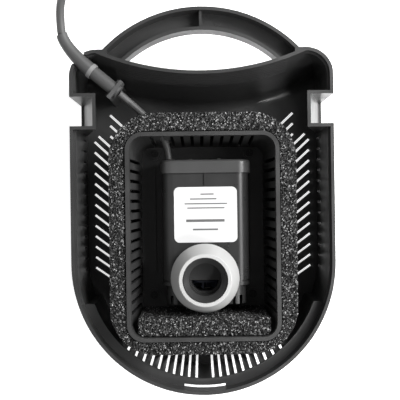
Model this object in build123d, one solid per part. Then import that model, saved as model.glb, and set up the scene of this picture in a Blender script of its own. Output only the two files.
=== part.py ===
from build123d import *
from math import atan2, cos, degrees, radians, sqrt, tan
import os

# Submersible fountain pump standing in the open lower half of its filter shell:
# shell, cage basket, foam filter, magnet-driven pump, and its mains cord.
# Millimetres. X runs across, Y toward the carry handle, Z up, z = 0 is the floor.

# Lower shell
HALF_WIDTH = 98.0
NOSE_Y = -46.0  # centre of the half-round front
SHOULDER_Y = 113.0
CORNER_R = 20.0
RIM_Z = 66.0
STEP_Z = 62.0  # the wall is thinner above this
LEDGE_Z = 56.0
FLOOR_Z = 7.5
SKIN = 2.5
FEET_Z = 5.0
FRONT_Y = -77.0  # the front ledge starts here
NOSE_IN_R = 88.3
BACK_Y = 289.1  # vertical axis of the concave back wall
BACK_R = 195.0
BACK_SLOPE = 16.0 / 58.5
BACK_FILLET = 9.0
SLIT_PITCH = 8.63

# Carry handle
HANDLE_Y = 42.6
HANDLE_OUT_R = 101.4
HANDLE_IN_R = 84.0
HANDLE_Z = 52.0

# Latch recess in each side
LATCH_Y = (56.4, 78.3)
LATCH_X = 81.0
LATCH_SLOPE = 15.0 / 54.0
LATCH_Z = 12.0

# Basket and foam
BASKET_Y = -26.0
BASKET_X_HALF = 56.3
BASKET_Y_HALF = 76.5
BASKET_Z = (10.0, 73.0, 76.0)  # underside, wall top, rim top
BASKET_TAPER = 4.0
SLOT_PITCH = 7.5
SCREW_SPOTS = [(-38.5, 38.5), (38.5, 38.5), (-40.0, -76.0), (40.0, -76.0)]
FOAM_Y = (-112.5, 64.9)
FOAM_HALF = 68.9
FOAM_CORNER = 34.0
FOAM_Z = (7.6, 75.0)
FOAM_BLOCK = (-85.5, 73.0)  # rear face and top

# Pump, its rotor axis along Y
PUMP_X = 2.0
PUMP_Z = 35.75
PUMP_HALF = 33.0
PUMP_TALL = 21.25
PUMP_CORNER = 9.0
NARROW_HALF = 30.2  # half width in front of the chamber flange
FLANGE_Y = -64.0
MOTOR_Y = (-56.5, 27.0)
CAP_Y = (21.0, 31.0)
CHAMBER_Y = -70.0
GRILLE_Y = -78.0
CAP_SCREWS = [(sx * 26.5, sz * 14.5) for sx in (-1, 1) for sz in (-1, 1)]
CHAMBER_SCREWS = [(sx * 25.2, sz * 13.5) for sx in (-1, 1) for sz in (-1, 1)]
SHAFT_R = 2.0
WELL_R = 12.4

# Outlet
OUTLET = (1.1, -57.8)
TUBE_R = 16.5
BORE_R = 12.0
FLANGE_Z = (58.5, 61.0)
COLLAR_Z = (62.0, 78.0)
TUBE_TOP = 76.5
FLARE_Z = 72.5

# Leads
LEAD_R = 2.65
CORD_R = 3.2
GROMMET_R = 3.6
LEAD = [(-25.5, 17.6, 42), (-25.5, 41, 42), (-33, 54, 44), (-46, 68.5, 50), (-61.5, 81.1, 62.5)]
RELIEF = [(-63.8, 83.0, 62.5), (-81.5, 97.6, 62.5)]
RELIEF_R = 5.0
RING_R = 5.8
SLEEVE_R = (5.4, 4.1)  # at the ring and at the far end
SLEEVE = [(-82.8, 98.6, 62.7), (-91.1, 106.4, 64), (-99.5, 116.5, 65.5), (-102.7, 124.5, 66.3)]
FREE = [
    (-102.7, 124.5, 66.3),
    (-104.6, 140.0, 65.5),
    (-104.2, 157.0, 55.0),
    (-103.2, 172.0, 38.0),
    (-102.2, 188.0, 20.0),
    (-101.6, 206.0, 8.0),
    (-101.4, 228.0, 4.2),
]
COIL = (-30.0, 245.0)
COIL_R = (40.4, 74.8)
COIL_Z = (0.8, 40.4)
TAIL = [
    (-30.0, 316.4, 37.0),
    (-6.0, 316.6, 36.6),
    (14.0, 316.6, 29.0),
    (32.0, 314.5, 17.0),
    (50.0, 307.5, 7.0),
    (64.5, 293.5, 4.2),
    (72.3, 275.0, 7.5),
    (72.3, 256.0, 12.0),
]
PLUG = (72.3, 12.0)  # x and z of its axis

os.makedirs("parts", exist_ok=True)


def save(name, *shapes):
    solids = [solid for shape in shapes for solid in shape.solids()]
    node = solids[0] if len(solids) == 1 else Compound(children=solids)
    node.label = name
    export_step(node, f"parts/{name}.step")
    print(f"{name}: {len(solids)} solids, {sum(s.volume for s in solids):.1f} mm3")


def block(x0, x1, y0, y1, z0, z1):
    return Pos((x0 + x1) / 2, (y0 + y1) / 2, (z0 + z1) / 2) * Box(x1 - x0, y1 - y0, z1 - z0)


def post(x, y, z0, z1, radius):
    return Pos(x, y, (z0 + z1) / 2) * Cylinder(radius, z1 - z0)


def drum(y0, y1, radius, dx=0.0, dz=0.0):
    """Cylinder along Y, placed from the rotor axis."""
    middle = Pos(PUMP_X + dx, (y0 + y1) / 2, PUMP_Z + dz)
    return middle * Rot(90, 0, 0) * Cylinder(radius, y1 - y0)


def section(y):
    """Plane across the pump at y: local x is X, local y is -Z, normal +Y."""
    return Plane(origin=(PUMP_X, y, PUMP_Z), x_dir=(1, 0, 0), z_dir=(0, 1, 0))


def bar(y0, y1, half_x, half_z, corner):
    return extrude(section(y0) * RectangleRounded(2 * half_x, 2 * half_z, corner), y1 - y0)


def rod(start, end, radius):
    a, b = Vector(*start), Vector(*end)
    return extrude(Plane(origin=a, z_dir=b - a) * Circle(radius), (b - a).length)


def along(start, end, share):
    return tuple(a + (b - a) * share for a, b in zip(start, end))


def smooth_path(points):
    """Filleted line through the points."""
    spots = [Vector(*p) for p in points]
    bends = []
    for before, here, after in zip(spots, spots[1:], spots[2:]):
        turn = radians((here - before).get_angle(after - here))
        run = min((here - before).length, (after - here).length)
        bends.append(0.45 * run / tan(turn / 2))
    return FilletPolyline(*spots, radius=bends)


def pipe(points, radius):
    path = smooth_path(points)
    return sweep((path ^ 0) * Circle(radius), path=path)


def slab(sketch, z0, z1):
    return extrude(Pos(0, 0, z0) * sketch, z1 - z0)


def both(shape):
    return [shape, mirror(shape, about=Plane.YZ)]


# ---------------------------------------------------------------- lower shell


def plan(inset):
    """Outline of the shell, moved inward."""
    half = HALF_WIDTH - inset
    top = SHOULDER_Y - inset
    body = Pos(0, (top + NOSE_Y) / 2) * Rectangle(2 * half, top - NOSE_Y)
    body = fillet(body.vertices().sort_by(Axis.Y)[-2:], CORNER_R - inset)
    return body + Pos(0, NOSE_Y) * Circle(half)


def before(y):
    return Pos(0, y - 100) * Rectangle(400, 200)


def stepped(inset, y, nose_radius):
    """The outline with a smaller nose in front of y."""
    nose = Pos(0, NOSE_Y) * Circle(nose_radius)
    return (plan(inset) - before(y)) + (nose & before(y))


def back_radius(z):
    return BACK_R + BACK_SLOPE * (RIM_Z - z)


def back_cone(inset):
    z0, z1 = 0.0, RIM_Z + 4
    cone = Cone(back_radius(z0) - inset, back_radius(z1) - inset, z1 - z0)
    return Pos(0, BACK_Y, (z0 + z1) / 2) * cone


def back_fillet():
    """Rounded corner between the back wall and the floor."""
    lean = sqrt(1 + BACK_SLOPE**2)
    z = FLOOR_Z + BACK_FILLET
    r = back_radius(z) + BACK_FILLET * lean
    wall_r, wall_z = r - BACK_FILLET / lean, z - BACK_FILLET * BACK_SLOPE / lean
    under = FLOOR_Z - 1
    profile = Polygon(
        (wall_r, wall_z), (wall_r - 1, wall_z), (back_radius(FLOOR_Z) - 1, under), (r, under), (r, FLOOR_Z),
        align=None,
    )
    ring = revolve(Plane.XZ * (profile - Pos(r, z) * Circle(BACK_FILLET)), Axis.Z)
    return (Pos(0, BACK_Y) * ring) & slab(plan(3.0), under - 1, z)


def shell_outside():
    low = slab(stepped(0, FRONT_Y - SKIN, NOSE_IN_R + SKIN), FEET_Z, LEDGE_Z - SKIN)
    high = slab(plan(0), LEDGE_Z - SKIN, RIM_Z)
    ends = plan(0) - before(105) - Rectangle(140, 400)
    shoulders = slab(ends, LEDGE_Z, RIM_Z)
    return low + high - back_cone(SKIN) + shoulders


def shell_inside():
    wall = plan(4.0) - before(FRONT_Y)
    low = slab(stepped(4.0, FRONT_Y, NOSE_IN_R), FLOOR_Z, LEDGE_Z)
    middle = slab(wall + (plan(SKIN) & before(FRONT_Y)), LEDGE_Z, STEP_Z)
    high = slab(plan(SKIN), STEP_Z, RIM_Z + 3)
    return low + middle + high - back_cone(0)


def recess_wall():
    """Fills the side wall inward so that the latch recess can be cut from outside."""
    reach = LATCH_X - SKIN
    low = FLOOR_Z
    face = Plane.XZ.offset(-(LATCH_Y[0] - SKIN)) * Polygon(
        (reach, RIM_Z),
        (HALF_WIDTH - 1, RIM_Z),
        (HALF_WIDTH - 1, low),
        (reach + LATCH_SLOPE * (RIM_Z - low), low),
        align=None,
    )
    return extrude(face, LATCH_Y[1] - LATCH_Y[0] + 2 * SKIN, dir=(0, 1, 0))


def recess_cut():
    over = RIM_Z + 2
    face = Plane.XZ.offset(-LATCH_Y[0]) * Polygon(
        (LATCH_X - LATCH_SLOPE * 2, over),
        (HALF_WIDTH + 3, over),
        (HALF_WIDTH + 3, LATCH_Z),
        (LATCH_X + LATCH_SLOPE * (RIM_Z - LATCH_Z), LATCH_Z),
        align=None,
    )
    return extrude(face, LATCH_Y[1] - LATCH_Y[0], dir=(0, 1, 0))


def floor_slit(x, y, angle, reach):
    """Slit through the floor, from its outer end inward and to the front."""
    length = reach / cos(radians(angle))
    turned = Pos(x, y, FLOOR_Z - 1) * Rot(0, 0, angle) * Pos(-length / 2, 0, 0)
    return turned * Box(length, 1.8, 5)


def shell_slits():
    cuts = both(floor_slit(85, 54.2, 43, 22))
    for n in range(13):
        y = 49.6 - SLIT_PITCH * n
        cuts += both(floor_slit(88.3, y, 43 - 0.7 * n, 26))
        cuts += both(block(90, 100, y - 0.9, y + 0.9, 12, 27))
    for n in range(3):
        cuts += both(floor_slit(75.3, 54.2 + SLIT_PITCH * n, 43, 20))
    for n in range(10):
        x = 6.3 + 5.75 * n
        y = NOSE_Y - sqrt(NOSE_IN_R**2 - x**2)
        spot = Pos(x, y, 28.5) * Rot(0, 0, degrees(atan2(y, x)))
        cuts += both(spot * Pos(-4, 0, 0) * Box(18, 1.8, 49))
    return cuts


def make_lower_shell():
    outside = shell_outside()
    inside = shell_inside()
    shell = outside - inside + both(recess_wall()) + back_fillet()
    shell = shell - both(recess_cut())
    shell = shell - shell_slits()
    # ledge slot that takes the tongue of the upper half
    arc = (Circle(95.4) - Circle(93.2)) & (Pos(0, -90) * Rectangle(31, 40))
    shell = shell - slab(Pos(0, NOSE_Y) * arc, LEDGE_Z - 3, LEDGE_Z + 1)
    # fine grooves across the back wall
    for z in (45, 48, 51, 54, 57, 60, 62.5):
        ring = Circle(back_radius(z) + 1) - Circle(back_radius(z) - 0.25)
        strip = ring & (Pos(0, -BACK_R) * Rectangle(130, 60))
        shell = shell - slab(Pos(0, BACK_Y) * strip, z, z + 0.4)
    # posts under the basket
    for x, y in SCREW_SPOTS:
        shell = shell + post(x, y, FLOOR_Z - 0.5, BASKET_Z[0], 5)
        shell = shell - post(x, y, FEET_Z + 0.8, BASKET_Z[0] + 1, 1.5)
    # plate that holds the relief flange, and the notch in the rim for the sleeve
    start, end = RELIEF
    spot = Vector(*start) + (Vector(*end) - Vector(*start)).normalized() * 2.9
    plate_plane = Plane(origin=spot, z_dir=Vector(*end) - Vector(*start), x_dir=(0.632, 0.766, 0))
    plate = plate_plane * Box(15, 130, SKIN)
    plate = plate & (inside & block(-98, 0, 0, 120, FLOOR_Z, 61))
    plate = plate - plate_plane * Cylinder(RELIEF_R + 0.2, 8)
    shell = shell + plate
    a, b = along(SLEEVE[1], SLEEVE[0], 0.8), along(SLEEVE[1], SLEEVE[2], 0.6)
    shell = shell - rod(a, b, SLEEVE_R[0] + 0.3)
    notch = Box(20, 2 * SLEEVE_R[0] + 0.6, 10)
    shell = shell - Pos(SLEEVE[1][0], SLEEVE[1][1], 69) * Rot(0, 0, 133.5) * notch
    return shell


def make_carry_handle():
    band = Circle(HANDLE_OUT_R) - Circle(HANDLE_IN_R)
    hollow = Circle(HANDLE_OUT_R - SKIN) - Circle(HANDLE_IN_R + SKIN)
    upper = Pos(0, 90) * Rectangle(150, 90)
    channel = slab(Pos(0, HANDLE_Y) * (band & upper), HANDLE_Z, RIM_Z)
    channel = channel - slab(Pos(0, HANDLE_Y) * (hollow & upper), HANDLE_Z + SKIN, RIM_Z + 1)
    floor = HANDLE_Z + SKIN
    middle = HANDLE_Y + (HANDLE_OUT_R + HANDLE_IN_R) / 2
    channel = channel + block(-1, 1, middle - 8, middle + 8, floor, RIM_Z - 2)
    channel = channel + post(13.1, 133.9, floor - 0.2, floor + 0.4, 2.2)
    channel = channel + post(61.6, 109.4, floor - 0.2, floor + 0.4, 3.3)
    trimmed = channel - shell_outside()
    return trimmed.solids().sort_by(SortBy.VOLUME)[-1]


# ----------------------------------------------------------- basket and foam


def cup(inset, z0, z1):
    """Tapered rounded box of the basket wall."""
    rings = []
    for z in (z0, z1):
        lean = BASKET_TAPER * (BASKET_Z[1] - z) / (BASKET_Z[1] - BASKET_Z[0])
        half_x = BASKET_X_HALF - 1.0 - lean - inset
        half_y = BASKET_Y_HALF - 1.0 - lean - inset
        corner = 12.0 - 0.5 * lean - inset
        rings.append(Pos(0, BASKET_Y, z) * RectangleRounded(2 * half_x, 2 * half_y, corner))
    return loft(rings, ruled=True)


def make_basket():
    under, top, rim = BASKET_Z
    basket = cup(0, under, top) - cup(2.0, under + 2, top + 1)
    outer = RectangleRounded(2 * BASKET_X_HALF, 2 * BASKET_Y_HALF, 13)
    inner = RectangleRounded(2 * BASKET_X_HALF - 6, 2 * BASKET_Y_HALF - 6, 10)
    basket = basket + slab(Pos(0, BASKET_Y) * (outer - inner), top - 0.2, rim)
    cuts = []
    for n in range(16):
        y = BASKET_Y + (n - 7.5) * SLOT_PITCH
        cuts.append(block(-70, 70, y - 1.3, y + 1.3, 16, 70.5))
    for n in range(11):
        x = (n - 5) * SLOT_PITCH
        cuts.append(block(x - 1.3, x + 1.3, BASKET_Y - 90, BASKET_Y + 90, 16, 70.5))
    cuts.append(block(-35.5, -21, 40, 60, 36, 52))
    basket = basket - cuts
    for x in (-41.5, 41.5):
        basket = basket + block(x - 3.5, x + 3.5, -58, 27, under + 1, under + 4)
    for x, y in SCREW_SPOTS:
        basket = basket + post(x, y, under, under + 3.5, 5)
        basket = basket - post(x, y, under - 1, under + 5, 1.8)
    return basket


def make_basket_screws():
    head = BASKET_Z[0] + 3.5
    screws = []
    for x, y in SCREW_SPOTS:
        screw = post(x, y, FEET_Z + 1, head + 0.1, 1.45) + post(x, y, head, head + 2.2, 3.2)
        slot_cut = block(x - 2, x + 2, y - 0.4, y + 0.4, head + 1.2, head + 3)
        cross_cut = block(x - 0.4, x + 0.4, y - 2, y + 2, head + 1.2, head + 3)
        screws.append(screw - slot_cut - cross_cut)
    return screws


def make_foam_sleeve():
    front, rear = FOAM_Y
    outer = Pos(0, (front + rear) / 2) * RectangleRounded(2 * FOAM_HALF, rear - front, FOAM_CORNER)
    inner = RectangleRounded(2 * BASKET_X_HALF + 0.8, 2 * BASKET_Y_HALF + 0.8, 13.4)
    ring = outer - Pos(0, BASKET_Y) * inner
    sleeve = slab(ring, *FOAM_Z)
    return sleeve - block(-50, -24, 45, 70, 0, 54)


def make_foam_block():
    room = cup(2.4, BASKET_Z[0] + 2, BASKET_Z[1])
    rear, top = FOAM_BLOCK
    return room & block(-49, 49, -110, rear, BASKET_Z[0] + 2.2, top)


# ---------------------------------------------------------------------- pump


def motor_room(y0, y1):
    """Space inside the motor's walls."""
    return bar(y0, y1, PUMP_HALF - SKIN, PUMP_TALL - SKIN, PUMP_CORNER - SKIN)


def make_motor_housing():
    front, rear = MOTOR_Y
    outside = bar(front, rear, PUMP_HALF, PUMP_TALL, PUMP_CORNER)
    housing = outside - motor_room(front + SKIN, rear + 1)
    for dx, dz in CHAMBER_SCREWS:
        housing = housing + drum(front + 1, -44, 3.4, dx, dz)
    for dx, dz in CAP_SCREWS:
        housing = housing + drum(12, rear, 3.6, dx, dz)
    housing = housing & outside
    housing = housing + drum(front + 1, -14, WELL_R + 1.2)
    housing = housing - drum(front - 1, -15.5, WELL_R)
    housing = housing + (drum(-20, -15, 6) - drum(-20, -15.5, 4.5))
    for dx, dz in CHAMBER_SCREWS:
        housing = housing - drum(front - 1, -46, 1.5, dx, dz)
    for dx, dz in CAP_SCREWS:
        housing = housing - drum(14, rear + 1, 1.5, dx, dz)
    for x, y in foot_spots():
        housing = housing - post(x, y, 14, 16, 2)
    ridge = block(PUMP_X - 0.8, PUMP_X + 0.8, 11, 20.8, 56, 57.9)
    return housing + ridge


def foot_spots():
    return [(PUMP_X + sx * 22, y) for sx in (-1, 1) for y in (-44, 8)]


def make_suction_feet():
    feet = []
    for x, y in foot_spots():
        pad = post(x, y, 12, 14.5, 6) + post(x, y, 14.4, 15.9, 2)
        feet.append(pad - Pos(x, y, 12.5) * Cone(5, 3, 1.0))
    return feet


def make_end_cap():
    seam, rear = CAP_Y
    cap = bar(seam, rear, PUMP_HALF + 1.4, PUMP_TALL + 1.4, PUMP_CORNER + 0.8)
    cap = fillet(cap.faces().sort_by(Axis.Y)[-1].edges(), 2.5)
    pocket = bar(seam - 1, MOTOR_Y[1] + 0.2, PUMP_HALF + 0.2, PUMP_TALL + 0.2, PUMP_CORNER + 0.2)
    cap = cap - pocket - motor_room(seam, rear - SKIN)
    for dx, dz in CAP_SCREWS:
        cap = cap - drum(20, rear + 1, 1.7, dx, dz) - drum(rear - 1.5, rear + 1, 3.0, dx, dz)
    lead = Vector(*LEAD[0])
    cap = cap - drum(25, rear + 1, GROMMET_R, lead.X - PUMP_X, lead.Z - PUMP_Z)
    # two ribs that stiffen the rear face
    for x in (-9, 13):
        cap = cap + block(x - 1, x + 1, rear - 0.5, rear + 1.2, 20, 52)
    return cap


def make_cap_screws():
    rear = CAP_Y[1]
    return [
        drum(15, rear - 1.4, 1.45, dx, dz) + drum(rear - 1.5, rear, 2.8, dx, dz)
        for dx, dz in CAP_SCREWS
    ]


def make_resin_seal():
    seal = motor_room(18.5, 26.8)
    for dx, dz in CAP_SCREWS:
        seal = seal - drum(12, MOTOR_Y[1], 3.6, dx, dz)
    lead = Vector(*LEAD[0])
    return seal - drum(17, 28, LEAD_R, lead.X - PUMP_X, lead.Z - PUMP_Z)


def inner_block(x0, x1, y0, y1, half_z):
    """Block beside the rotor axis, symmetric in height."""
    return block(PUMP_X + x0, PUMP_X + x1, y0, y1, PUMP_Z - half_z, PUMP_Z + half_z)


def make_stator_core():
    yoke = inner_block(-21, 21, 9.5, 17.5, 10)
    core = yoke
    for low, high, pole_low, pole_high in ((13, 21, 13, 27.5), (-21, -13, -27.5, -13)):
        core = core + inner_block(low, high, -12.5, 9.6, 10)
        core = core + inner_block(pole_low, pole_high, -50, -12, 10)
    return core - drum(-51, -13.5, WELL_R + 1.5)


def coil_sides():
    return [(1, 13, 21), (-1, -21, -13)]


def make_bobbins():
    made = []
    for _, low, high in coil_sides():
        tube = inner_block(low - 1.2, high + 1.2, -11, 9, 11.2)
        for y in (-11, 8):
            tube = tube + inner_block(low - 6.4, high + 6.4, y, y + 1, 16.4)
        made.append(tube - inner_block(low, high, -12, 10, 10))
    return made


def make_windings():
    made = []
    for _, low, high in coil_sides():
        whole = inner_block(low - 6.2, high + 6.2, -10, 8, 16.2)
        whole = fillet(whole.edges().filter_by(Axis.Y), 4)
        made.append(whole - inner_block(low - 1.2, high + 1.2, -11, 9, 11.2))
    return made


def dog(y0, y1, turn):
    """Sixty degree driving lug between two radii, turned about the rotor axis."""
    lug = (Circle(9.2) - Circle(5.0)) & Polygon((0, 0), (20, -11.4), (20, 11.4), align=None)
    return extrude(section(y0) * Rot(0, 0, turn) * lug, y1 - y0)


def make_rotor_core():
    core = drum(-58.7, -20.6, 4.2) + drum(-54.6, -53.6, 9.6)
    core = core + dog(-60.7, -54.2, -90)
    return core - drum(-62, -18, SHAFT_R + 0.05)


def make_rotor_magnet():
    return drum(-53.6, -21.6, 11.2) - drum(-54, -21, 4.2)


def make_impeller():
    wheel = drum(-67.4, -59.0, 4.2) + drum(-62.5, -61, 14.5)
    wheel = wheel + (drum(-61.2, -55.4, 10.9) - drum(-61.2, -55.0, 9.5))
    wheel = wheel + dog(-61.2, -54.9, 90)
    blade = Pos(9, 0) * Rectangle(11, 1.4)
    for n in range(6):
        vane = extrude(section(-67) * Rot(0, 0, 60 * n + 8) * Rot(0, 0, 12) * blade, 4.6)
        wheel = wheel + vane
    return wheel - drum(-70, -54, SHAFT_R + 0.05)


def make_chamber():
    rear = MOTOR_Y[0]
    x, y = OUTLET
    chamber = bar(CHAMBER_Y, rear, NARROW_HALF, PUMP_TALL, PUMP_CORNER)
    chamber = chamber + bar(FLANGE_Y, rear, PUMP_HALF, PUMP_TALL, PUMP_CORNER)
    groove = bar(-61.2, -60.0, PUMP_HALF + 1, PUMP_TALL + 1, PUMP_CORNER + 1)
    chamber = chamber - (groove - bar(-62, -59, PUMP_HALF - 1, PUMP_TALL - 1, PUMP_CORNER - 1))
    chamber = chamber + block(x - 13, x + 13, -69.5, rear - 0.1, 55, 59)
    chamber = chamber + post(x, y, *FLANGE_Z, 24) + post(x, y, 60, TUBE_TOP, TUBE_R)
    chamber = chamber - drum(CHAMBER_Y + 2, rear + 1, 16.5)
    chamber = chamber - drum(CHAMBER_Y - 1, rear, 9)
    chamber = chamber - (drum(rear - 2.2, rear + 1, 20) - drum(rear - 3, rear + 2, 17.8))
    channel = post(x, y, PUMP_Z, 60.5, BORE_R - 1.5)
    chamber = chamber - (channel & block(x - 20, x + 20, -67.5, -59.4, PUMP_Z, 61))
    chamber = chamber - post(x, y, 60, TUBE_TOP + 1, BORE_R)
    flare = Cone(BORE_R, BORE_R + 3.6, TUBE_TOP - FLARE_Z)
    chamber = chamber - Pos(x, y, (TUBE_TOP + FLARE_Z) / 2) * flare
    # spider across the inlet eye, with the seat of the front bush
    spider = drum(-74, -68, 5.5)
    for turn in (90, 210, 330):
        arm = section(-70) * Rot(0, 0, turn) * Pos(6.5, 0) * Rectangle(6.5, 2.2)
        spider = spider + extrude(arm, 2)
    chamber = chamber + spider - drum(-73, -67.9, 4)
    for dx, dz in CHAMBER_SCREWS:
        chamber = chamber - drum(CHAMBER_Y - 1, rear + 1, 1.7, dx, dz)
    return chamber


def make_chamber_screws():
    return [
        drum(-70.1, -47, 1.45, dx, dz) + drum(-72, -70, 2.8, dx, dz) for dx, dz in CHAMBER_SCREWS
    ]


def make_chamber_oring():
    plane = section(MOTOR_Y[0] - 1.1)
    profile = Plane(origin=plane.origin, x_dir=(1, 0, 0), z_dir=(0, 0, 1))
    ring = profile * Pos(18.9, 0) * Circle(1.1)
    return revolve(ring, Axis(plane.origin, (0, 1, 0)), 360)


def make_grille():
    grille = bar(GRILLE_Y, CHAMBER_Y, NARROW_HALF, PUMP_TALL, PUMP_CORNER)
    hollow = bar(GRILLE_Y + 2, CHAMBER_Y + 1, NARROW_HALF - 2, PUMP_TALL - 2, PUMP_CORNER - 2)
    grille = grille - hollow
    cuts = []
    for n in range(-5, 6):
        x = PUMP_X + 5.2 * n
        cuts.append(block(x - 1.1, x + 1.1, GRILLE_Y - 1, CHAMBER_Y - 1.5, 18, 60))
    return grille - cuts


def make_collar():
    z0, z1 = COLLAR_Z
    inner = TUBE_R + 0.1
    profile = Plane.XZ * Polygon(
        (inner, z0),
        (18.6, z0),
        (18.6, z1 - 3),
        (23.4, z0),
        (25.7, z0),
        (19.4, z1 - 0.4),
        (18.9, z1),
        (inner, z1),
        align=None,
    )
    return Pos(*OUTLET, 0) * revolve(profile, Axis.Z, 360)


def make_gasket():
    ring = Circle(23.4) - Circle(TUBE_R + 0.1)
    return slab(Pos(*OUTLET) * ring, FLANGE_Z[1], COLLAR_Z[0])


def make_label():
    return slab(Pos(PUMP_X + 0.1, -10.5) * RectangleRounded(47.5, 41.8, 4), 57.0, 57.3)


# ---------------------------------------------------------------- electrics


def make_splices():
    lead = Vector(*LEAD[0])
    return [
        drum(9.8, 17.5, 1.1, lead.X - PUMP_X + side, lead.Z - PUMP_Z) for side in (-1.3, 1.3)
    ]


def make_grommet():
    lead = Vector(*LEAD[0])
    dx, dz = lead.X - PUMP_X, lead.Z - PUMP_Z
    body = drum(28.5, 31.1, GROMMET_R, dx, dz) + drum(31, 32.2, 4.4, dx, dz)
    return body - drum(28, 33, LEAD_R, dx, dz)


def make_relief_plug():
    start, end = (Vector(*p) for p in RELIEF)
    way = (end - start).normalized()
    inner = start - way * 2.9
    body = rod(inner, end - way * 1.6, RELIEF_R)
    flange = Plane(origin=start, z_dir=way, x_dir=(0.632, 0.766, 0)) * Box(16, 11, 3)
    return body + flange


def make_relief_ring():
    start, end = (Vector(*p) for p in RELIEF)
    way = (end - start).normalized()
    return rod(end - way * 1.6, end + way * 1.4, RING_R)


def make_relief_sleeve():
    """Sleeve that narrows from the ring to the free cord."""
    path = smooth_path([RELIEF[1]] + SLEEVE[1:])
    wide, narrow = SLEEVE_R
    rings = []
    for share in (0, 0.2, 0.4, 0.6, 0.8, 1):
        plane = Plane(origin=path @ share, z_dir=path % share)
        rings.append(plane * Circle(wide + (narrow - wide) * share))
    return loft(rings) - make_relief_ring()


def make_coil():
    ring = Circle(COIL_R[1]) - Circle(COIL_R[0])
    coil = slab(Pos(*COIL) * ring, *COIL_Z)
    return fillet(coil.edges().filter_by(GeomType.CIRCLE), 3)


def make_ties():
    ties = []
    for turn in (60, 240):
        outer = Box(COIL_R[1] - COIL_R[0] + 1.6, 9, COIL_Z[1] - COIL_Z[0] + 1.6)
        inner = Box(COIL_R[1] - COIL_R[0], 10, COIL_Z[1] - COIL_Z[0])
        middle = Pos(*COIL, sum(COIL_Z) / 2) * Rot(0, 0, turn) * Pos(sum(COIL_R) / 2, 0, 0)
        ties.append(middle * (outer - inner))
    return ties


def make_plug_body():
    x, z = PLUG
    rings = []
    for y, wide, tall in ((196, 35.5, 24), (206, 35.5, 24), (226, 26, 20), (240, 16, 14)):
        plane = Plane(origin=(x, y, z), x_dir=(1, 0, 0), z_dir=(0, 1, 0))
        rings.append(plane * RectangleRounded(wide, tall, 0.45 * tall))
    return loft(rings, ruled=True)


def make_plug_pins():
    x, z = PLUG
    pins = []
    for dx in (-9.5, 9.5):
        pins.append(rod((x + dx, 196, z), (x + dx, 177, z), 2.4))
    return pins


def make_plug_relief():
    x, z = PLUG
    return Pos(x, 248, z) * Rot(-90, 0, 0) * Cone(6, 4, 16)


# -------------------------------------------------------------------- export

shell = make_lower_shell()
save("lower_shell", shell)
save("carry_handle", make_carry_handle())
save("shell_feet", *[post(x, y, 0, FEET_Z, 8) for x in (-50, 50) for y in (-92, 62)])
save("cage_basket", make_basket())
save("basket_screws", *make_basket_screws())
save("foam_sleeve", make_foam_sleeve())
save("foam_block", make_foam_block())
save("motor_housing", make_motor_housing())
save("suction_feet", *make_suction_feet())
save("motor_end_cap", make_end_cap())
save("cap_screws", *make_cap_screws())
save("resin_seal", make_resin_seal())
save("stator_core", make_stator_core())
save("coil_bobbins", *make_bobbins())
save("coil_windings", *make_windings())
save("rotor_core", make_rotor_core())
save("rotor_magnet", make_rotor_magnet())
save("ceramic_shaft", drum(-72.5, -15.9, SHAFT_R))
save("shaft_bush_rear", drum(-20, -15.5, 4.5) - drum(-21, -15.9, SHAFT_R))
save("shaft_bush_front", drum(-73, -68.2, 4) - drum(-72.5, -68, SHAFT_R))
save("thrust_washer", drum(-68.2, -67.6, 3.9) - drum(-69, -67, SHAFT_R))
save("impeller", make_impeller())
save("pump_chamber", make_chamber())
save("chamber_oring", make_chamber_oring())
save("chamber_screws", *make_chamber_screws())
save("intake_grille", make_grille())
save("outlet_collar", make_collar())
save("collar_gasket", make_gasket())
save("rating_label", make_label())
save("lead_splices", *make_splices())
save("lead_grommet", make_grommet())
relief = make_relief_plug()
save("inner_lead", pipe(LEAD, LEAD_R) - relief)
save("relief_plug", relief)
save("relief_ring", make_relief_ring())
sleeve = make_relief_sleeve()
save("relief_sleeve", sleeve)
coil = make_coil()
save("cord_free", pipe(FREE, CORD_R) - coil - sleeve)
save("cord_coil", coil)
save("cord_tail", pipe(TAIL, CORD_R) - coil - make_plug_relief())
save("coil_ties", *[tie - coil for tie in make_ties()])
save("plug_body", make_plug_body())
save("plug_pins", *make_plug_pins())
save("plug_relief", make_plug_relief())
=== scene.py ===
"""Looks of the fountain pump: materials, cords, foam, label, floor and light."""

import math

import bpy
import numpy as np
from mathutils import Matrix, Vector, kdtree


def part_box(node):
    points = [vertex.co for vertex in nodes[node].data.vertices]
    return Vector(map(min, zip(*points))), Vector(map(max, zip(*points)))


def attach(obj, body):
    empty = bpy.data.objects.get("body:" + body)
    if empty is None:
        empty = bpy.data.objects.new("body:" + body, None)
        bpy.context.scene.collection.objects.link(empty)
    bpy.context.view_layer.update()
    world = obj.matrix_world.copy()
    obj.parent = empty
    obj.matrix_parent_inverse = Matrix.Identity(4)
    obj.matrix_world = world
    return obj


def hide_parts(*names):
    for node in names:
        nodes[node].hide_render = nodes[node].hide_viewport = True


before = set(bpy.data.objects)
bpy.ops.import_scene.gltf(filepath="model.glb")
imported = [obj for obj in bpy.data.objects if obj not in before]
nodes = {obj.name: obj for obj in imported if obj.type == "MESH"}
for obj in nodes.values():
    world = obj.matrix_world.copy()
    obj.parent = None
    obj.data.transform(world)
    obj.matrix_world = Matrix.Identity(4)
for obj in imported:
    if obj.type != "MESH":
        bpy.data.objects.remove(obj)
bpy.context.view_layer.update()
MM = 0.001
scene = bpy.context.scene


# ------------------------------------------------------------------- camera

# straight above the pump
camera_data = bpy.data.cameras.new("camera")
camera_data.lens = 63.2
camera_data.sensor_width = 36.0
camera = bpy.data.objects.new("camera", camera_data)
camera.location = (-0.0020, 0.00055, 0.586)
camera.rotation_euler = (0.0, 0.0, math.radians(-0.76))
scene.collection.objects.link(camera)
scene.camera = camera


# ---------------------------------------------------------------- materials


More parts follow.
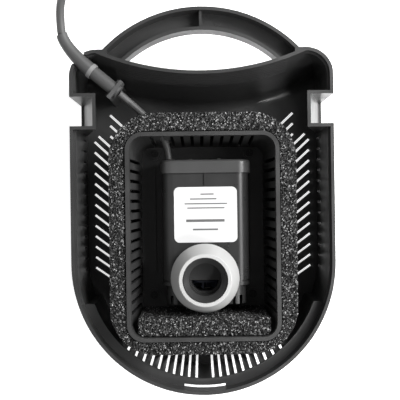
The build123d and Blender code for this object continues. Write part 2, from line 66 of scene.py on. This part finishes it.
def new_material(name):
    material = bpy.data.materials.new(name)
    material.use_nodes = True
    tree = material.node_tree
    shader = tree.nodes["Principled BSDF"]
    return material, tree, shader


def object_coordinates(tree):
    return tree.nodes.new("ShaderNodeTexCoord").outputs["Object"]


def noise(tree, scale, detail=3.0):
    node = tree.nodes.new("ShaderNodeTexNoise")
    node.inputs["Scale"].default_value = scale
    node.inputs["Detail"].default_value = detail
    tree.links.new(object_coordinates(tree), node.inputs["Vector"])
    return node.outputs["Fac"]


NOISE_RANGE = (0.3, 0.7)  # where nearly all of a noise texture's values lie


def spread(tree, value, low, high):
    """The noise value's usual range, stretched from low to high."""
    node = tree.nodes.new("ShaderNodeMapRange")
    node.inputs["From Min"].default_value = NOISE_RANGE[0]
    node.inputs["From Max"].default_value = NOISE_RANGE[1]
    node.inputs["To Min"].default_value = low
    node.inputs["To Max"].default_value = high
    tree.links.new(value, node.inputs["Value"])
    return node.outputs["Result"]


def ramp(tree, value, stops):
    node = tree.nodes.new("ShaderNodeValToRGB")
    first, last = node.color_ramp.elements
    first.position, first.color = stops[0][0], (*stops[0][1], 1)
    last.position, last.color = stops[-1][0], (*stops[-1][1], 1)
    for position, colour in stops[1:-1]:
        node.color_ramp.elements.new(position).color = (*colour, 1)
    tree.links.new(value, node.inputs["Fac"])
    return node.outputs["Color"]


def drift(tree, scale, dark, light):
    """Slow change of colour between two tones."""
    start, end = NOISE_RANGE
    return ramp(tree, noise(tree, scale), [(start, dark), (end, light)])


def bump(tree, shader, height, strength, distance):
    node = tree.nodes.new("ShaderNodeBump")
    node.inputs["Strength"].default_value = strength
    node.inputs["Distance"].default_value = distance
    tree.links.new(height, node.inputs["Height"])
    tree.links.new(node.outputs["Normal"], shader.inputs["Normal"])


def grey(value, tint=1.0):
    return (value, value, value * tint)


def plastic(name, dark, light, rough, grain=900.0, grain_depth=0.00006, level=0.5):
    """Moulded plastic: fine texture, slow colour drift, and uneven gloss."""
    material, tree, shader = new_material(name)
    tree.links.new(drift(tree, 28.0, dark, light), shader.inputs["Base Color"])
    gloss = spread(tree, noise(tree, 60.0, 5.0), rough[0], rough[1])
    tree.links.new(gloss, shader.inputs["Roughness"])
    bump(tree, shader, noise(tree, grain, 2.0), 0.35, grain_depth)
    shader.inputs["Specular IOR Level"].default_value = level
    return material


def metal(name, colour, rough):
    """Bare metal: faint mottling, uneven gloss, and a fine grain."""
    material, tree, shader = new_material(name)
    shader.inputs["Metallic"].default_value = 1.0
    tone = drift(tree, 90.0, [c * 0.8 for c in colour], colour)
    tree.links.new(tone, shader.inputs["Base Color"])
    gloss = spread(tree, noise(tree, 200.0), rough, rough + 0.15)
    tree.links.new(gloss, shader.inputs["Roughness"])
    bump(tree, shader, noise(tree, 400.0, 2.0), 0.2, 0.00004)
    return material


def cells(tree, feature, scale):
    node = tree.nodes.new("ShaderNodeTexVoronoi")
    node.feature = feature
    node.inputs["Scale"].default_value = scale
    tree.links.new(object_coordinates(tree), node.inputs["Vector"])
    return node.outputs


def foam_material():
    """Open-cell filter foam: black pits between struts, with painted highlights: a random share of
    cells is coloured light grey as if their struts caught the light.
    """
    material, tree, shader = new_material("filter_foam")
    chance = cells(tree, "F1", 1200.0)["Color"]
    # painted highlights: the top cells of the ramp are painted up to light grey where struts would
    # catch the light; most cells stay near-black
    painted_glint_stops = [(0.0, grey(0.002)), (0.54, grey(0.010)), (0.75, grey(0.06)), (0.92, grey(0.36))]
    tree.links.new(ramp(tree, chance, painted_glint_stops), shader.inputs["Base Color"])
    tree.links.new(spread(tree, noise(tree, 700.0), 0.5, 0.7), shader.inputs["Roughness"])
    shader.inputs["Specular IOR Level"].default_value = 0.2
    bump(tree, shader, cells(tree, "DISTANCE_TO_EDGE", 620.0)["Distance"], 0.9, 0.0012)
    return material


def banded_metal(name, direction, scale, stops, rough, strength):
    """Metal in fine parallel bands: wound wires or stacked sheets."""
    material, tree, shader = new_material(name)
    shader.inputs["Metallic"].default_value = 0.9
    bands = tree.nodes.new("ShaderNodeTexWave")
    bands.bands_direction = direction
    bands.inputs["Scale"].default_value = scale
    tree.links.new(object_coordinates(tree), bands.inputs["Vector"])
    tree.links.new(ramp(tree, bands.outputs["Fac"], stops), shader.inputs["Base Color"])
    shader.inputs["Roughness"].default_value = rough
    bump(tree, shader, bands.outputs["Fac"], strength, 0.0002)
    return material


# name, darkest and lightest tone, roughness range, grain scale, grain depth
shell_black = plastic("shell_plastic", grey(0.030), grey(0.040), (0.28, 0.42), 1500.0, 0.00005)
cap_grey = plastic("end_cap_plastic", grey(0.050), grey(0.062), (0.28, 0.38), 1800.0, 0.00004)
motor_black = plastic("motor_plastic", grey(0.024), grey(0.030), (0.26, 0.36), 1800.0, 0.00004)
basket_black = plastic("basket_plastic", grey(0.030), grey(0.042), (0.30, 0.45), 1200.0, 0.00005)
collar_white = plastic(
    "white_plastic", grey(0.41, 0.99), grey(0.45, 0.99), (0.30, 0.42), 900.0, 0.00003
)
label_white = plastic("label_film", grey(0.62), grey(0.65), (0.32, 0.40), 700.0, 0.00002)
label_ink = plastic("label_ink", grey(0.10), grey(0.14), (0.35, 0.45), 700.0, 0.00002)
soft_black = plastic("black_rubber", grey(0.012), grey(0.018), (0.50, 0.68), 1600.0, 0.00006, 0.35)
cord_black = plastic("cord_rubber", grey(0.055), grey(0.075), (0.42, 0.55), 1300.0, 0.00005, 0.45)
ring_grey = plastic("grey_rubber", grey(0.17), grey(0.21), (0.45, 0.60), 1200.0, 0.00005)
resin_black = plastic("resin", grey(0.020), grey(0.035), (0.15, 0.30), 300.0, 0.00008)
bobbin_nylon = plastic("bobbin_nylon", (0.50, 0.47, 0.38), (0.58, 0.55, 0.46), (0.35, 0.5))
wheel_blue = plastic("impeller_plastic", (0.05, 0.06, 0.09), (0.08, 0.09, 0.13), (0.3, 0.45))
ceramic = plastic("ceramic", (0.76, 0.75, 0.70), (0.82, 0.81, 0.76), (0.08, 0.18), 600.0, 0.00001)
ferrite = plastic("ferrite", grey(0.05), grey(0.09), (0.45, 0.65), 1500.0, 0.0001)
stainless = metal("stainless", (0.58, 0.58, 0.57), 0.25)
blackened = metal("blackened_steel", (0.05, 0.05, 0.05), 0.35)
pin_metal = metal("pin_metal", (0.72, 0.68, 0.55), 0.22)
foam_black = foam_material()
copper_tones = [(0.0, (0.18, 0.05, 0.02)), (1.0, (0.62, 0.26, 0.12))]
wound_copper = banded_metal("copper_winding", "Y", 620.0, copper_tones, 0.35, 0.8)
steel_tones = [(0.0, grey(0.10)), (0.4, grey(0.34)), (1.0, grey(0.4))]
stacked_steel = banded_metal("steel_laminations", "Z", 310.0, steel_tones, 0.42, 0.6)

FINISH = {
    shell_black: ["lower_shell", "carry_handle"],
    basket_black: ["cage_basket"],
    motor_black: ["motor_housing", "pump_chamber", "intake_grille"],
    cap_grey: ["motor_end_cap"],
    collar_white: ["outlet_collar", "rotor_core"],
    label_white: ["rating_label"],
    soft_black: [
        "shell_feet", "suction_feet", "shaft_bush_rear", "shaft_bush_front", "chamber_oring",
        "collar_gasket", "lead_grommet", "coil_ties", "plug_body", "plug_relief",
    ],
    cord_black: ["relief_plug", "relief_sleeve"],
    ring_grey: ["relief_ring"],
    resin_black: ["resin_seal"],
    bobbin_nylon: ["coil_bobbins"],
    wheel_blue: ["impeller"],
    ceramic: ["ceramic_shaft", "thrust_washer"],
    ferrite: ["rotor_magnet"],
    stainless: ["chamber_screws"],
    blackened: ["basket_screws", "cap_screws"],
    pin_metal: ["plug_pins"],
    wound_copper: ["coil_windings", "lead_splices"],
    stacked_steel: ["stator_core"],
}

for finish, names in FINISH.items():
    for name in names:
        nodes[name].data.materials.clear()
        nodes[name].data.materials.append(finish)


# -------------------------------------------------------------------- cords


def cord_curve(name, points, radius, material):
    """Round cord along a NURBS line with these control points, in millimetres."""
    curve = bpy.data.curves.new(name, "CURVE")
    curve.dimensions = "3D"
    curve.bevel_depth = radius * MM
    curve.bevel_resolution = 4
    curve.use_fill_caps = True
    spline = curve.splines.new("NURBS")
    spline.points.add(len(points) - 1)
    for place, (x, y, z) in zip(spline.points, points):
        place.co = (x * MM, y * MM, z * MM, 1)
    spline.order_u = 3
    spline.use_endpoint_u = True
    spline.resolution_u = 6
    curve.materials.append(material)
    obj = bpy.data.objects.new(name, curve)
    scene.collection.objects.link(obj)
    return obj


LAYER_TURNS = 25 / 6
CLIMB_TURNS = 0.45  # from one layer to the next
POINTS_PER_TURN = 18
LOOSE_TURNS = 0.06  # left out at each end, where the coil meets the free cord


def coil_points(centre, outer, inner, start_z, pitch_z, layers):
    """Flat spirals on one another, wound clockwise from the left side."""
    total = layers * LAYER_TURNS + (layers - 1) * CLIMB_TURNS
    made = []
    at = LOOSE_TURNS
    while at < total - LOOSE_TURNS:
        layer, inside = divmod(at, LAYER_TURNS + CLIMB_TURNS)
        layer = min(int(layer), layers - 1)
        share = min(inside / LAYER_TURNS, 1.0)
        rise = max(0.0, inside - LAYER_TURNS) / CLIMB_TURNS
        radius = outer + (inner - outer) * (share if layer % 2 == 0 else 1 - share)
        turn = math.pi - 2 * math.pi * at
        x = centre[0] + radius * math.cos(turn)
        y = centre[1] + radius * math.sin(turn)
        made.append((x, y, start_z + pitch_z * (layer + rise * rise * (3 - 2 * rise))))
        at += 1 / POINTS_PER_TURN
    return made


FREE = [
    (-102.7, 124.5, 66.3),
    (-104.6, 140.0, 65.5),
    (-104.2, 157.0, 55.0),
    (-103.2, 172.0, 38.0),
    (-102.2, 188.0, 20.0),
    (-101.6, 206.0, 8.0),
    (-101.4, 228.0, 4.2),
]
TAIL = [
    (-30.0, 316.4, 37.0),
    (-6.0, 316.6, 36.6),
    (14.0, 316.6, 29.0),
    (32.0, 314.5, 17.0),
    (50.0, 307.5, 7.0),
    (64.5, 293.5, 4.2),
    (72.3, 275.0, 7.5),
    (72.3, 256.0, 12.0),
]
COIL = coil_points((-30.0, 245.0), outer=71.4, inner=43.8, start_z=4.1, pitch_z=6.6, layers=6)
MAINS_R = 3.2
mains = cord_curve("mains_cord", FREE + COIL + TAIL, MAINS_R, cord_black)
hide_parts("cord_free", "cord_coil", "cord_tail")
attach(mains, "shell")

LEAD = [
    (-25.5, 17.6, 42.0),
    (-25.5, 41.0, 42.0),
    (-33.0, 54.0, 44.0),
    (-46.0, 68.5, 50.0),
    (-61.5, 81.1, 62.5),
]
LEAD_R = 2.65
lead = cord_curve("inner_lead_visual", LEAD, LEAD_R, cord_black)
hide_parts("inner_lead")
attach(lead, "shell")


# --------------------------------------------------------------------- foam


VOXEL = 0.00105
CELL = 0.0020
PIT_DEPTH = 0.0012
PIT_SHARE = 0.55  # share of a cell over which its rim falls to the pit's bottom
INSET = 0.0001  # keeps the skin just inside the solid


def porous(node, name, seed):
    """Foam piece: the solid remeshed finely, its skin pitted by random cells."""
    obj = bpy.data.objects.new(name, nodes[node].data.copy())
    scene.collection.objects.link(obj)
    remesh = obj.modifiers.new("remesh", "REMESH")
    remesh.mode = "VOXEL"
    remesh.voxel_size = VOXEL
    graph = bpy.context.evaluated_depsgraph_get()
    mesh = bpy.data.meshes.new_from_object(obj.evaluated_get(graph))
    obj.modifiers.clear()
    obj.data = mesh
    mesh.name = name
    count = len(mesh.vertices)
    places = np.zeros(count * 3)
    normals = np.zeros(count * 3)
    mesh.vertices.foreach_get("co", places)
    mesh.vertices.foreach_get("normal", normals)
    places, normals = places.reshape(-1, 3), normals.reshape(-1, 3)
    chance = np.random.default_rng(seed)
    low, high = places.min(0) - CELL, places.max(0) + CELL
    grid = np.stack(
        np.meshgrid(*[np.arange(a, b, CELL) for a, b in zip(low, high)], indexing="ij"), -1
    ).reshape(-1, 3)
    grid = grid + chance.uniform(-0.5, 0.5, grid.shape) * CELL
    tree = kdtree.KDTree(len(grid))
    for i, place in enumerate(grid):
        tree.insert(place, i)
    tree.balance()
    # the nearest centre is much nearer than the second one in the middle of a cell
    pit = np.zeros(count)
    for i, place in enumerate(places):
        near = tree.find_n(place, 2)
        pit[i] = near[1][2] - near[0][2]
    pit = np.clip(pit / (PIT_SHARE * CELL), 0, 1)
    pit = pit * pit * (3 - 2 * pit)
    moved = places - normals * (INSET + PIT_DEPTH * pit)[:, None]
    mesh.vertices.foreach_set("co", moved.reshape(-1))
    mesh.update()
    mesh.materials.clear()
    mesh.materials.append(foam_black)
    for face in mesh.polygons:
        face.use_smooth = False
    return obj


foam_ring = porous("foam_sleeve", "foam_sleeve_visual", seed=7)
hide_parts("foam_sleeve")
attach(foam_ring, "foam_ring")
foam_pad = porous("foam_block", "foam_block_visual", seed=11)
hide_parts("foam_block")
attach(foam_pad, "foam_pad")


# -------------------------------------------------------------------- label


BAR_THICKNESS = 0.04
# millimetres from the label's rear edge, height, and span from its left edge
BARS = [
    (5.0, 0.9, 20, 30),
    (8.6, 0.9, 12, 32),
    (12.2, 0.9, 8, 40),
    (15.4, 0.9, 10, 38),
    (24.4, 2.0, 9, 38),
    (31.4, 1.3, 14, 33),
]


def strip(x0, x1, y0, y1, z0, z1):
    corners = [(x, y, z) for z in (z0, z1) for x, y in ((x0, y0), (x1, y0), (x1, y1), (x0, y1))]
    faces = [(3, 2, 1, 0), (4, 5, 6, 7), (0, 1, 5, 4), (1, 2, 6, 5), (2, 3, 7, 6), (3, 0, 4, 7)]
    return corners, faces


def label_bars():
    """Plain bars where a label's printed lines would be."""
    low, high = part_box("rating_label")
    left, back, top = low[0] / MM, high[1] / MM, high[2] / MM
    corners, faces = [], []
    for down, tall, start, end in BARS:
        rear = back - down
        made, sides = strip(left + start, left + end, rear - tall, rear, top, top + BAR_THICKNESS)
        faces += [tuple(i + len(corners) for i in side) for side in sides]
        corners += [tuple(v * MM for v in corner) for corner in made]
    mesh = bpy.data.meshes.new("label_bars")
    mesh.from_pydata(corners, [], faces)
    mesh.materials.append(label_ink)
    obj = bpy.data.objects.new("label_bars", mesh)
    scene.collection.objects.link(obj)
    return obj


bars = label_bars()
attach(bars, "shell")


# ----------------------------------------------------------- floor and light

FAR = 3
floor_corners = [(-FAR, -FAR, 0), (FAR, -FAR, 0), (FAR, FAR, 0), (-FAR, FAR, 0)]
floor_mesh = bpy.data.meshes.new("floor")
floor_mesh.from_pydata(floor_corners, [], [(0, 1, 2, 3)])
floor = bpy.data.objects.new("floor", floor_mesh)
scene.collection.objects.link(floor)
floor_material, _, floor_shader = new_material("floor")
floor_shader.inputs["Base Color"].default_value = (0.9, 0.9, 0.9, 1)
floor_shader.inputs["Roughness"].default_value = 0.9
floor_shader.inputs["Emission Color"].default_value = (1, 1, 1, 1)
floor_shader.inputs["Emission Strength"].default_value = 0.75
floor_mesh.materials.append(floor_material)


def area_light(name, place, aim, width, tall, power):
    data = bpy.data.lights.new(name, "AREA")
    data.shape = "RECTANGLE"
    data.size, data.size_y = width, tall
    data.energy = power
    obj = bpy.data.objects.new(name, data)
    obj.location = place
    obj.rotation_euler = (Vector(aim) - Vector(place)).to_track_quat("-Z", "Y").to_euler()
    scene.collection.objects.link(obj)


def dark_zenith_world():
    """Soft light all round, dimmer straight above."""
    world = bpy.data.worlds.new("world")
    world.use_nodes = True
    tree = world.node_tree
    split = tree.nodes.new("ShaderNodeSeparateXYZ")
    tree.links.new(tree.nodes.new("ShaderNodeTexCoord").outputs["Generated"], split.inputs[0])
    sky = [(0.0, grey(0.40)), (0.5, grey(0.62)), (0.80, grey(0.45)), (0.98, grey(0.16))]
    background = tree.nodes["Background"]
    tree.links.new(ramp(tree, split.outputs["Z"], sky), background.inputs["Color"])
    background.inputs["Strength"].default_value = 0.8
    scene.world = world


MIDDLE = (0, 0, 0.04)
WALL_FOOT = (0.05, 0.084, 0.012)
area_light("key", (0.66, 0.42, 0.72), MIDDLE, 0.5, 0.4, 14)
area_light("streak", (0.72, -0.02, 0.55), MIDDLE, 0.45, 0.9, 7)
area_light("fill", (-0.8, 0.3, 0.5), MIDDLE, 0.5, 0.4, 1)
area_light("accent", (0.29, -0.47, 0.68), WALL_FOOT, 0.12, 0.12, 2)
dark_zenith_world()
scene.view_settings.view_transform = "Standard"
